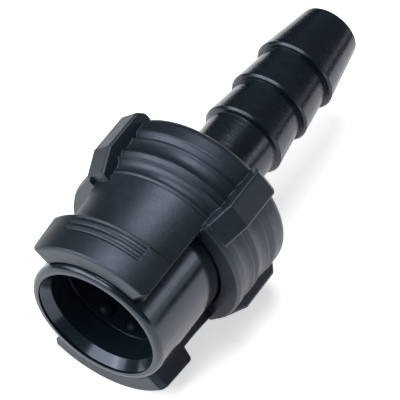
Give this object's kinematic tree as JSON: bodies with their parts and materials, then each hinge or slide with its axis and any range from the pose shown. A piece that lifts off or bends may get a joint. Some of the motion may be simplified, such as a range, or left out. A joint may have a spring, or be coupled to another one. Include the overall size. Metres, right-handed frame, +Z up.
{
  "type": "plastic quick disconnect coupling",
  "caption": "Plastic quick disconnect socket with a pull-back release sleeve, ball lock, shut-off valve and a barbed hose tail.",
  "frame": {"origin": "middle of the socket's mouth, on the axis, in the plane of the rim", "axes": "+Y along the axis from the mouth to the hose end; +Z up, through the middle of the upper sleeve tab; the coupling lies on its side"},
  "size_m": [0.0324, 0.0718, 0.0324],
  "materials": {
    "body_plastic": "polished black acetal",
    "sleeve_plastic": "fine matte black acetal",
    "ball_plastic": "black acetal",
    "inner_plastic": "dark grey acetal",
    "spring_steel": "drawn stainless wire",
    "seal_rubber": "black nitrile"
  },
  "bodies": {
    "body": {"socket_body": "body_plastic", "hose_tail": "body_plastic", "socket_seal": "seal_rubber", "seal_backup_ring": "inner_plastic", "spring_washer": "inner_plastic", "sleeve_spring": "spring_steel", "valve_spring": "spring_steel", "spring_guide": "inner_plastic", "tail_seal": "seal_rubber"},
    "sleeve": {"release_sleeve": "sleeve_plastic", "sleeve_retainer": "inner_plastic"},
    "poppet": {"valve_poppet": "inner_plastic", "poppet_seal": "seal_rubber"},
    "ball_1": {"lock_ball_1": "ball_plastic"},
    "ball_2": {"lock_ball_2": "ball_plastic"},
    "ball_3": {"lock_ball_3": "ball_plastic"},
    "ball_4": {"lock_ball_4": "ball_plastic"},
    "ball_5": {"lock_ball_5": "ball_plastic"},
    "ball_6": {"lock_ball_6": "ball_plastic"}
  },
  "joints": [
    {"name": "sleeve_pull", "type": "slide", "parent": "body", "child": "sleeve", "axis": [0, 1, 0], "range_m": [0, 0.0035], "stiffness_N_per_m": 600, "springref_m": -0.008, "deforming": ["sleeve_spring"]},
    {"name": "valve_open", "type": "slide", "parent": "body", "child": "poppet", "axis": [0, 1, 0], "range_m": [0, 0.004], "stiffness_N_per_m": 60, "springref_m": -0.003, "deforming": ["valve_spring"]},
    {"name": "ball_1_lift", "type": "slide", "parent": "body", "child": "ball_1", "axis": [-0.5, 0, 0.866], "range_m": [0, 0.00084]},
    {"name": "ball_2_lift", "type": "slide", "parent": "body", "child": "ball_2", "axis": [0, 0, 1], "range_m": [0, 0.00084]},
    {"name": "ball_3_lift", "type": "slide", "parent": "body", "child": "ball_3", "axis": [0.5, 0, 0.866], "range_m": [0, 0.00084]},
    {"name": "ball_4_lift", "type": "slide", "parent": "body", "child": "ball_4", "axis": [0.5, 0, -0.866], "range_m": [0, 0.00084]},
    {"name": "ball_5_lift", "type": "slide", "parent": "body", "child": "ball_5", "axis": [0, 0, -1], "range_m": [0, 0.00084]},
    {"name": "ball_6_lift", "type": "slide", "parent": "body", "child": "ball_6", "axis": [-0.5, 0, -0.866], "range_m": [0, 0.00084]}
  ],
  "couplings": [
    {"joint": "ball_1_lift", "follows": "sleeve_pull", "ratio": 0.24},
    {"joint": "ball_2_lift", "follows": "sleeve_pull", "ratio": 0.24},
    {"joint": "ball_3_lift", "follows": "sleeve_pull", "ratio": 0.24},
    {"joint": "ball_4_lift", "follows": "sleeve_pull", "ratio": 0.24},
    {"joint": "ball_5_lift", "follows": "sleeve_pull", "ratio": 0.24},
    {"joint": "ball_6_lift", "follows": "sleeve_pull", "ratio": 0.24}
  ]
}
